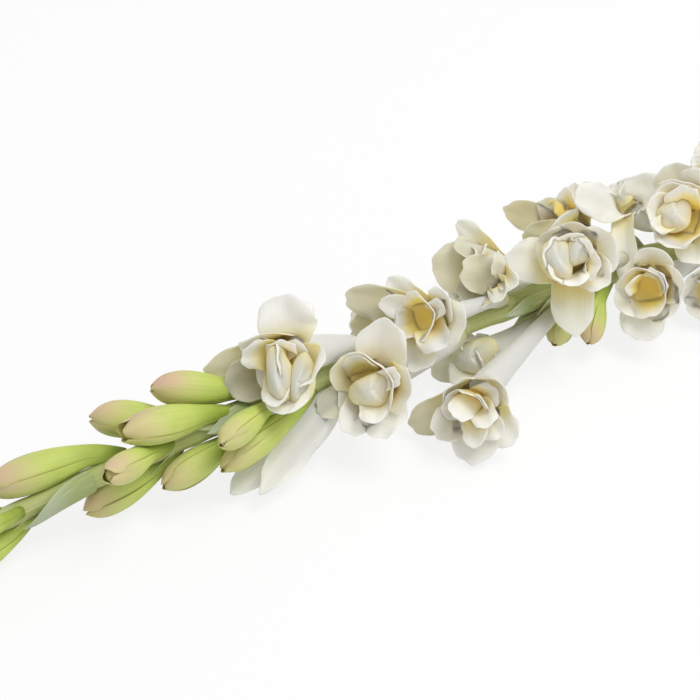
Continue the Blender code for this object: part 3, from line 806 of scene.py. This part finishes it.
def wild_petals(mouth, face, size, away, chance):
    """Outer petals and crests of a floret that isn't set out one by one."""
    other = face.cross(away).normalized()
    outer, crests = [], []
    for number in range(6):
        angle = math.radians(60.0 * number + chance.uniform(-7.0, 7.0))
        side = turned(away, other, angle)
        spread = size * (15.5 if number % 2 else 18.0) * chance.uniform(0.9, 1.05)
        if number in (2, 3, 4):
            spread *= 0.8
        tip = mouth + side * spread + face * size * chance.uniform(1.0, 6.0)
        outer.append((tip, chance.uniform(7.6, 9.0) * size, 45.0, chance.uniform(-0.1, 0.3), 0.0,
                      chance.uniform(0.05, 0.35), chance.uniform(0.1, 0.8)))
    for number in range(3):
        angle = math.radians(120.0 * number + chance.uniform(-20.0, 20.0))
        side = turned(away, other, angle)
        tip = mouth + side * size * chance.uniform(3.0, 7.0) + face * size * chance.uniform(2.0, 5.0)
        crests.append((tip, chance.uniform(4.4, 5.8) * size, 70.0, chance.uniform(-0.6, 0.1), 0.0, 0.0, 0.2))
    return outer, crests


def set_petals(rows, mouth):
    """Table rows of petals with their tips as points."""
    return [(view_tip(mouth, *row[:3]), *row[3:]) for row in rows]


def add_whorl(plant, throat, face, rings, chance, petals, lips):
    """Petals that stand on two rings in turn."""
    for number, petal in enumerate(petals):
        add_petal(plant, throat, face, rings[number % 2], chance, *petal, lips)


def add_flower_tube(plant, seat, path, away, size, stout):
    """The floret's tube: from its seat inside the stem it widens along the path to the throat."""
    profile = ((0.0, 1.9), (0.05, 2.3), (0.1, 2.75), (0.17, 2.8), (0.25, 2.7 * stout), (0.35, 2.95 * stout),
               (0.5, 3.4 * stout), (0.65, 3.9 * stout), (0.8, 4.4 * stout), (0.92, 4.8 * stout),
               (1.0, 5.15 * size * stout))

    def place(angle, v):
        spot = v * (len(profile) - 1)
        index = min(int(spot), len(profile) - 2)
        share = spot - index
        t = profile[index][0] * (1.0 - share) + profile[index + 1][0] * share
        radius = profile[index][1] * (1.0 - share) + profile[index + 1][1] * share
        radius *= 1.0 + 0.035 * math.cos(6.0 * angle) * smooth(t * 1.5)
        if v <= 0.0:
            centre, along = seat, (path[0] - seat).normalized()
        else:
            centre, along = bezier(path, t), heading(path, t)
        across = square_to(along, away)
        return centre + turned(across, along.cross(across), angle) * radius

    plant.tube(20, 14, place, lambda u, v: 1.0 - smooth((v - 0.15) / 0.35))


def add_floret(name, station, mouth, face, size, skins, heart):
    """One floret: a trumpet of tube and outer petals, and a rosette of inner ones."""
    chance = random.Random("tuberose " + name)
    mouth = Vector(mouth)
    face = Vector(face).normalized()
    out = outward_to(station, mouth)
    seat = stem_point(station) + out * stem_radius(station) * 0.6
    base = stem_point(station) + out * (stem_radius(station) + GAP + 2.0)
    throat = mouth - face * CUP_DEPTH * size
    reach = (throat - base).length
    towards = (out * 0.5 - stem_direction(station)).normalized()
    path = (base, base + towards * reach * 0.4, throat - face * reach * 0.35, throat)
    away = square_to(face, outward_to(mouth.x, mouth))
    if name in PETALS:
        outer, crests = (set_petals(PETALS[name][kind], mouth) for kind in ("outer", "crests"))
    else:
        outer, crests = wild_petals(mouth, face, size, away, chance)

    plant = Plant()
    stout = STOUT.get(name, 1.0)
    add_flower_tube(plant, seat, path, away, size, stout)
    add_whorl(plant, throat, face, [size * stout * ring for ring in OUTER_RINGS], chance, outer, 0.0)
    plant.finish(name + "_trumpet", name + "_corolla", "petal_ivory", skins, LEAF_WALL)

    plant = Plant()
    common = (8.2, chance.uniform(0.0, 2.0), 5.0, 0.1)
    add_goblet(plant, mouth, face, away, size, chance, *GOBLETS.get(name, common))
    heart_seat = mouth - face * HEART_DEPTH * size
    add_whorl(plant, heart_seat, face, [size * ring for ring in CREST_RINGS], chance, crests, 0.3)
    for dome in PETALS.get(name, {}).get("domes", ()):
        add_dome(plant, mouth, face, chance, *dome)
    plant.finish(name + "_rosette", name + "_heart", "heart_cream", heart, LEAF_WALL, lined=False)


def add_goblet(plant, mouth, face, away, size, chance, rim_radius, turn, notch, pale):
    """Three broad inner petals grown into one cup that overlaps itself, on a yellow floor."""
    other = face.cross(away)
    sweep = 2.0 * math.pi * 1.16              # the wall goes round once and laps over its start
    phases = [chance.uniform(0.0, 2.0 * math.pi) for _ in range(3)]
    bottom = 6.0
    foot = 3.4

    def wall(u, v):
        angle = turn + 0.5 * sweep * (u + 1.0)
        lobe = abs(math.sin(1.5 * (angle - turn) + 0.25)) ** 0.55
        top = 3.2 - notch * (1.0 - lobe) + 0.7 * math.sin(2.0 * angle + phases[0])
        high = -bottom + (top + bottom) * v
        flare = foot + (rim_radius - foot) * math.sin(0.5 * math.pi * min(1.25 * v, 1.0))
        wide = flare * (0.94 + 0.14 * (0.5 * (u + 1.0)))
        wide += (0.7 * math.sin(5.0 * angle + phases[1]) + 0.35 * math.sin(11.0 * angle + phases[2])) * v * v
        wide += 2.6 * smooth((v - 0.55) / 0.45) ** 1.5 * lobe
        side = turned(away, other, angle)
        return mouth + (face * high + side * wide) * size

    def floor(angle, v):
        wide = size * 0.9 * rim_radius * v
        high = size * (-5.6 + 1.0 * v + 1.6 * v ** 3)
        return mouth + face * high + turned(away, other, angle) * wide

    plant.sheet(40, 8, wall, flat_tone(0.0), 0, (pale, 1.0))
    plant.tube(16, 4, floor, flat_tone(0.0), 1)


def add_dome(plant, mouth, face, chance, right, up, near, half_width, half_height, depth, roll):
    """An inner petal that arches over the cup and shows its rounded back, with two folds along it."""
    crown = view_tip(mouth, right, up, near)
    facing = (VIEW_BACK * 0.65 + face * 0.35).normalized()
    level = square_to(facing, VIEW_RIGHT)
    first = turned(level, facing.cross(level), math.radians(roll))
    second = facing.cross(first)
    phase = chance.uniform(0.0, 6.28)

    def place(angle, v):
        bend = 0.5 * math.pi * (1.0 - v)
        wave = 1.0 + 0.09 * math.sin(3.0 * angle + phase) * (1.0 - v) + 0.05 * math.sin(2.0 * angle - phase)
        wave += 0.14 * math.exp(-((angle - 3.7) / 0.45) ** 2) * (1.0 - v)
        x = math.cos(angle) * math.sin(bend) * wave
        y = math.sin(angle) * math.sin(bend) * wave
        fold = 1.7 * smooth((x - 0.08 - 0.4 * y * y) / 0.1) - 1.1 * smooth((x + 0.5 + 0.35 * y) / 0.12)
        drop = depth * (1.0 - math.cos(bend)) + fold
        return crown + first * x * half_width + second * y * half_height - facing * drop

    plant.tube(32, 10, place, flat_tone(0.0), 0, (0.62, 0.88))


def bud_girth(t):
    """Share of a bud's greatest radius: a neck that swells to a rounded tip."""
    if t < 0.62:
        return 0.44 + 0.56 * smooth(t / 0.62) ** 1.1
    return max(1.0 - ((t - 0.62) / 0.38) ** 2.4, 0.0) ** 0.5


def add_bud(name, station, tip, radius, turn, gape, blush, skins):
    """Three outer tepals wrapped round three inner ones, on a thin neck."""
    chance = random.Random("tuberose " + name)
    neck = 0.36 * radius
    tip = Vector(tip)
    out = outward_to(station, tip)
    along = -stem_direction(station)
    base = stem_point(station) + out * (stem_radius(station) + GAP + 0.8 * neck)
    reach = (tip - base).length
    path = (base, base + (out * 0.3 + along).normalized() * reach * 0.3, base.lerp(tip, 0.66), tip)
    root = stem_point(station + 5.0) + out * stem_radius(station) * 0.35
    join = 0.12                               # the stretch of the neck that bends into the stem

    def middle_of(t):
        spot, axis = bezier(path, t), heading(path, t)
        if t >= join:
            return spot, axis
        share = 1.0 - smooth(t / join)
        return spot.lerp(root, share * 0.85), (axis + (base - root).normalized() * share).normalized()

    def on_bud(t, angle, size):
        centre, axis = middle_of(t)
        across = square_to(axis, out)
        return centre + turned(across, axis.cross(across), angle) * size

    def add_tepal(number):
        inside = number % 2
        middle = math.radians(turn + 60.0 * number)
        close = 0.9 if inside else 1.0
        tall = (0.95 if inside else 1.0) - chance.uniform(0.0, 0.02)
        spread = 0.0 if inside else gape * (1.0, 0.7, 0.45)[number // 2]
        lift = chance.uniform(0.15, 0.3)
        phase = chance.uniform(0.0, 6.28)

        def place(u, v):
            t = v * tall * (1.0 - 0.04 * abs(u) ** 2 * smooth((v - 0.6) / 0.4))
            span = math.radians(76.0) * (1.0 - 0.3 * smooth((v - 0.85) / 0.15))
            angle = middle + u * span + 0.3 * v
            closing = 1.0 - smooth((v - 0.86) / 0.14)
            size = radius * bud_girth(min(v, 0.997)) * close
            size += radius * 0.05 * (0.5 + 0.5 * u) * smooth(v * 3.0) * closing
            size += lift * smooth((abs(u) - 0.75) / 0.25) * smooth((v - 0.4) / 0.4) * closing
            if spread > 0.0:
                mouth = radius * spread * 0.66 * smooth((v - 0.5) / 0.3)
                size = 0.5 * (size + mouth + math.sqrt((size - mouth) ** 2 + 0.3))
            size += 0.1 * math.sin(3.0 * angle + 5.0 * v + phase) * closing
            return on_bud(t, angle, size)

        def tone(u, v):
            angle = middle + u * 1.3 + 0.3 * v
            _, axis = middle_of(v)
            across = square_to(axis, out)
            facing = turned(across, axis.cross(across), angle)
            upper = 0.55 + 0.45 * facing.dot(VIEW_UP)
            streak = 0.85 + 0.15 * math.sin(5.0 * u + phase)
            return min(blush * smooth((v - 0.5) / 0.42) * streak * (0.35 + 0.8 * upper), 1.0)

        plant.sheet(9, 12, place, tone)

    def core(angle, v):
        """The flesh between the tepals, seen in the open mouth."""
        t = join + 0.865 * v
        return on_bud(t, angle, 0.0 if v <= 0.0 or v >= 1.0 else radius * 0.8 * bud_girth(t))

    plant = Plant()
    for number in range(6):
        add_tepal(number)
    plant.tube(10, 10, core, flat_tone(0.0), 1)
    plant.finish(name + "_tepals", name, "bud_green", skins, TEPAL_WALL)


def add_shed_bud(name, station, tip, radius, skin):
    """A bud past its time: long limp white petals that hang from the stem to the table."""
    chance = random.Random("tuberose " + name)
    tip = Vector(tip)
    out = outward_to(station, tip)
    throat = stem_point(station + 6.0) + out * stem_radius(station)
    face = (tip - throat).normalized()
    beside = face.cross(out).normalized()

    def neck(angle, v):
        """The limp tube that the petals hang from."""
        centre = throat + face * (15.0 * v - 2.0) - Vector((0.0, 0.0, 2.0 * v * v))
        side = turned(face.cross(beside), beside, angle)
        return centre + side * (1.7 + 1.0 * v + 0.15 * math.cos(3.0 * angle))

    plant = Plant()
    plant.tube(14, 8, neck, lambda u, v: 0.6 * (1.0 - smooth(v * 1.4)))
    for right, up, near, wide, cup, curl in SHED_PETALS:
        end = view_tip(tip, right, up, near)
        add_petal(plant, throat, face, 2.0, chance, end, wide * radius, cup, curl, 0.7, 0.0, 0.8, 0.3)
    plant.finish(name + "_tepals", name, "bud_green", [skin], LIMP_WALL)


def add_scale(plant, station, target, chance):
    """A small leafy scale that clasps the stem under a bud or a floret."""
    out = outward_to(station, target)
    beside = stem_direction(station).cross(out)
    length = chance.uniform(11.0, 16.0)
    phase = chance.uniform(0.0, 6.28)
    turn = chance.uniform(-0.5, 0.5)

    def place(u, v):
        x = station + 4.0 - v * length
        wide = 4.6 * (1.0 - v ** 1.8) + 0.15
        clasp = stem_radius(station) + 0.25 + 0.22 * v * v * length + 0.5 * math.sin(4.0 * v + phase) * u * v
        angle = turn + u * wide / clasp
        return stem_point(x) + turned(out, beside, angle) * clasp

    plant.sheet(6, 8, place, lambda u, v: 0.25 + 0.35 * v)


def add_stem(skin):
    """The ribbed stem, swollen at every joint, with its scales and its cut end."""
    joints = [bud[1] for bud in BUDS] + [floret[1] for floret in FLORETS] + [bract[1] for bract in BRACTS[4:]]
    rows = 180

    def place(angle, v):
        if v <= 0.0 or v >= 1.0:
            return stem_point(TIP_X + 0.2 if v <= 0.0 else CUT_X - 0.6)
        share = min(max((v * rows - 1.0) / (rows - 3.0), 0.0), 1.0)
        x = TIP_X + (CUT_X - TIP_X) * share
        radius = stem_radius(x)
        swell = max(math.exp(-((x - joint) / 3.2) ** 2) for joint in joints)
        radius += 0.45 * swell - 0.12 + 0.09 * math.cos(7.0 * angle + 0.01 * x)
        radius += 0.1 * math.sin(0.11 * x + 2.0 * angle)
        if v * rows > rows - 1.5:
            radius *= 0.9
        along = stem_direction(x)
        up = square_to(along, Vector((0.0, 0.0, 1.0)))
        return stem_point(x) + turned(up, along.cross(up), angle) * radius

    plant = Plant()
    plant.tube(24, rows, place, lambda u, v: 1.0 if v * rows > rows - 1.6 else 0.0)
    chance = random.Random("tuberose scales")
    for name, station, target, *_ in BUDS + FLORETS:
        if name != "bud_white":
            add_scale(plant, station, target, chance)
    plant.finish("stem_ribbed", "stem", "stem_green", [skin], STEM_WALL)


def add_bract(name, station, turn, length, half_width, lean, taper, skin):
    """A thin pointed leaf that clasps the stem and leans away from it towards the tip."""
    chance = random.Random("tuberose " + name)
    phase = chance.uniform(0.0, 6.28)

    def place(u, v):
        x = station - v * length + 0.12 * length * abs(u) ** 2 * (v - 0.3)
        width = half_width * (1.0 - v ** taper) + 0.2
        clasp = stem_radius(station) + GAP + 0.25 + v * length * math.sin(math.radians(lean))
        clasp += 0.5 * math.sin(6.0 * v + phase) * abs(u) ** 2 * v + 0.25 * math.cos(4.0 * u + phase) * v
        angle = math.radians(turn) + u * width / clasp
        return stem_point(x) + Vector((0.0, -math.sin(angle), math.cos(angle))) * clasp

    plant = Plant()
    plant.sheet(10, 14, place, lambda u, v: smooth((v - 0.2) / 0.5))
    plant.finish(name + "_leaf", name, "bract_green", [skin], LEAF_WALL)


# ---- table, light and camera

def add_table():
    """A plain pale table that glows a little for the camera only."""
    mesh = bpy.data.meshes.new("table")
    shape = bmesh.new()
    bmesh.ops.create_grid(shape, x_segments=1, y_segments=1, size=3.0)
    shape.to_mesh(mesh)
    shape.free()
    table = bpy.data.objects.new("table", mesh)
    bpy.context.scene.collection.objects.link(table)
    material = bpy.data.materials.new("table_white")
    material.use_nodes = True
    tree = material.node_tree
    shader = tree.nodes["Principled BSDF"]
    shader.inputs["Base Color"].default_value = (TABLE_WHITE, TABLE_WHITE, TABLE_WHITE, 1.0)
    shader.inputs["Roughness"].default_value = 0.9
    shader.inputs["Specular IOR Level"].default_value = 0.1
    glow = tree.nodes.new("ShaderNodeEmission")
    glow.inputs["Strength"].default_value = 1.0
    rays = tree.nodes.new("ShaderNodeLightPath")
    share = tree.nodes.new("ShaderNodeMath")
    share.operation = "MULTIPLY"
    share.inputs[1].default_value = TABLE_GLOW
    mixed = tree.nodes.new("ShaderNodeMixShader")
    tree.links.new(rays.outputs["Is Camera Ray"], share.inputs[0])
    tree.links.new(share.outputs[0], mixed.inputs["Fac"])
    tree.links.new(shader.outputs[0], mixed.inputs[1])
    tree.links.new(glow.outputs[0], mixed.inputs[2])
    tree.links.new(mixed.outputs[0], tree.nodes["Material Output"].inputs["Surface"])
    mesh.materials.append(material)


def add_lamp():
    """One soft lamp above and in front."""
    lamp = bpy.data.lights.new("key", "AREA")
    lamp.shape = "DISK"
    lamp.size = LAMP_SIZE
    lamp.energy = LAMP_POWER
    holder = bpy.data.objects.new("key", lamp)
    holder.location = LAMP_SPOT
    holder.rotation_euler = (Vector(LAMP_SPOT) - VIEW_CENTRE).to_track_quat("Z", "Y").to_euler()
    bpy.context.scene.collection.objects.link(holder)


def add_studio():
    """Even light from all round, with pure white behind the object."""
    world = bpy.data.worlds.new("studio")
    bpy.context.scene.world = world
    world.use_nodes = True
    tree = world.node_tree
    plain = tree.nodes["Background"]
    plain.inputs["Color"].default_value = (1.0, 1.0, 1.0, 1.0)
    plain.inputs["Strength"].default_value = STUDIO_LEVEL
    white = tree.nodes.new("ShaderNodeBackground")
    white.inputs["Color"].default_value = (1.0, 1.0, 1.0, 1.0)
    rays = tree.nodes.new("ShaderNodeLightPath")
    mixed = tree.nodes.new("ShaderNodeMixShader")
    tree.links.new(rays.outputs["Is Camera Ray"], mixed.inputs["Fac"])
    tree.links.new(plain.outputs[0], mixed.inputs[1])
    tree.links.new(white.outputs[0], mixed.inputs[2])
    tree.links.new(mixed.outputs[0], tree.nodes["World Output"].inputs["Surface"])


def add_camera():
    lens = bpy.data.cameras.new("camera")
    lens.lens = LENS
    lens.sensor_width = SENSOR
    lens.clip_start = 0.01
    lens.clip_end = 20.0
    holder = bpy.data.objects.new("camera", lens)
    holder.location = VIEW_CENTRE + VIEW_BACK * VIEW_DISTANCE
    holder.rotation_euler = VIEW_BACK.to_track_quat("Z", "Y").to_euler()
    bpy.context.scene.collection.objects.link(holder)
    bpy.context.scene.camera = holder


def main():
    petal_skins = [petal_back(), petal_face()]
    heart_skins = [heart_face(), throat_lining()]
    bud_skins = [bud_skin(), bud_inside()]
    add_stem(stem_skin())
    for bud in BUDS:
        if bud[0] == "bud_white":
            add_shed_bud(*bud[:4], petal_skins[0])
        else:
            add_bud(*bud, bud_skins)
    for floret in FLORETS:
        add_floret(*floret, petal_skins, heart_skins)
    leaf = bract_skin()
    for bract in BRACTS:
        add_bract(*bract, leaf)
    add_table()
    add_studio()
    add_lamp()
    add_camera()
    bpy.context.scene.view_settings.view_transform = "Standard"


main()
